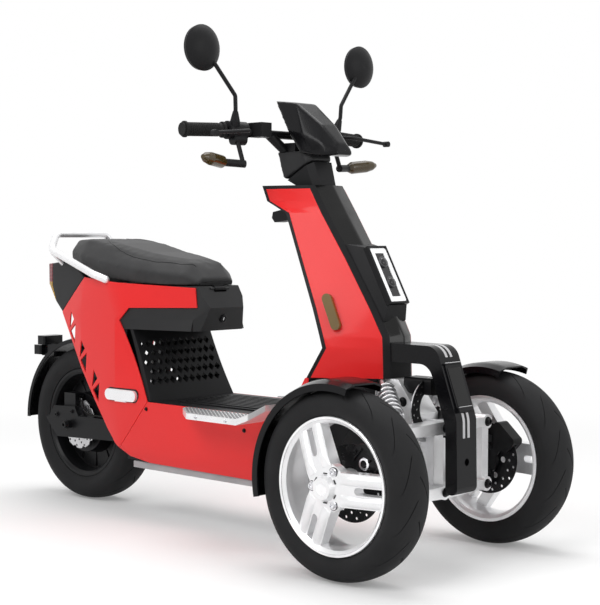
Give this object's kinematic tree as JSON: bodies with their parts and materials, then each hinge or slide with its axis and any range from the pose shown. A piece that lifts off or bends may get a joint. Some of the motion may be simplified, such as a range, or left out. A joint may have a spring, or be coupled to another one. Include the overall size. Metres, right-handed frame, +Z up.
{
  "type": "leaning electric tricycle",
  "caption": "Leaning electric tricycle with a pair of steered front wheels, a step-through floor, a long seat over a storage box and a hub-motor rear wheel.",
  "frame": {"origin": "on the floor under the middle of the length and width", "axes": "+X forward, +Y left, +Z up"},
  "size_m": [1.7939, 0.76, 1.351],
  "materials": {
    "tyre": "matte rubber",
    "silver": "satin cast alloy",
    "steel": "brushed",
    "black_metal": "satin black paint",
    "black_plastic": "fine-grained",
    "gloss_black": "high gloss",
    "red": "gloss paint",
    "seat": "matte vinyl",
    "lamp_white": "frosted light guide",
    "lens_dark": "smoked",
    "amber": "smoky amber",
    "tail_red": "translucent red",
    "mirror": "mirror",
    "rubber": "soft rubber",
    "grey_metal": "satin grey"
  },
  "bodies": {
    "chassis": {"column_shell": "black_plastic", "front_panel": "gloss_black", "headlamp_housing": "black_plastic", "headlamp_ring": "lamp_white", "headlamp_lens": "lens_dark", "front_side_panels": "red", "side_reflectors": "amber", "floor_board": "black_plastic", "foot_plates": "silver", "sill_panels": "red", "under_tray": "grey_metal", "battery": "black_metal", "rear_side_panels": "red", "inner_panel": "black_plastic", "seat_box": "black_plastic", "tail_cover": "black_plastic", "tail_lamp": "tail_red", "grab_rail": "silver", "rear_frame": "black_metal", "swingarm": "black_metal", "rear_shock": "steel", "mudguard_rear": "gloss_black", "front_casting": "silver", "tilt_linkage": "silver", "tilt_disc": "black_metal", "tilt_caliper": "black_metal", "front_shocks": "steel", "nose_beam": "gloss_black"},
    "steering": {"neck": "black_plastic", "handlebar": "black_metal", "grips": "rubber", "controls": "black_plastic", "mirrors": "black_plastic", "mirror_glass": "mirror", "indicators": "amber", "cowl": "gloss_black", "display": "lens_dark"},
    "seat": {"seat_pad": "seat", "seat_pan": "black_plastic"},
    "knuckle_left": {"knuckle_left": "black_metal", "mudguard_front_left": "gloss_black"},
    "wheel_front_left": {"tyre_front_left": "tyre", "rim_front_left": "silver", "disc_front_left": "black_metal"},
    "footrest_left": {"footrest_left": "silver"},
    "knuckle_right": {"knuckle_right": "black_metal", "mudguard_front_right": "gloss_black"},
    "wheel_front_right": {"tyre_front_right": "tyre", "rim_front_right": "silver", "disc_front_right": "black_metal"},
    "footrest_right": {"footrest_right": "silver"},
    "wheel_rear": {"tyre_rear": "tyre", "rim_rear": "black_metal", "disc_rear": "steel"}
  },
  "joints": [
    {"name": "steer", "type": "hinge", "parent": "chassis", "child": "steering", "pos_m": [0.303, 0, 0.95], "axis": [-0.4695, 0, 0.8829], "range_deg": [-35, 35]},
    {"name": "kingpin_left", "type": "hinge", "parent": "chassis", "child": "knuckle_left", "pos_m": [0.668, 0.235, 0.229], "axis": [0, 0, 1], "range_deg": [-28, 28]},
    {"name": "spin_front_left", "type": "hinge", "parent": "knuckle_left", "child": "wheel_front_left", "pos_m": [0.668, 0.3, 0.229], "axis": [0, 1, 0], "continuous": true},
    {"name": "footrest_left", "type": "hinge", "parent": "chassis", "child": "footrest_left", "pos_m": [-0.298, 0.173, 0.341], "axis": [-1, 0, 0], "range_deg": [0, 85]},
    {"name": "kingpin_right", "type": "hinge", "parent": "chassis", "child": "knuckle_right", "pos_m": [0.668, -0.235, 0.229], "axis": [0, 0, 1], "range_deg": [-28, 28]},
    {"name": "spin_front_right", "type": "hinge", "parent": "knuckle_right", "child": "wheel_front_right", "pos_m": [0.668, -0.3, 0.229], "axis": [0, 1, 0], "continuous": true},
    {"name": "footrest_right", "type": "hinge", "parent": "chassis", "child": "footrest_right", "pos_m": [-0.298, -0.173, 0.341], "axis": [1, 0, 0], "range_deg": [0, 85]},
    {"name": "spin_rear", "type": "hinge", "parent": "chassis", "child": "wheel_rear", "pos_m": [-0.632, 0, 0.2365], "axis": [0, 1, 0], "continuous": true},
    {"name": "seat_lift", "type": "hinge", "parent": "chassis", "child": "seat", "pos_m": [-0.07, 0, 0.664], "axis": [0, 1, 0], "range_deg": [0, 70]}
  ],
  "couplings": [
    {"joint": "kingpin_left", "follows": "steer", "ratio": 0.8},
    {"joint": "kingpin_right", "follows": "steer", "ratio": 0.8}
  ]
}
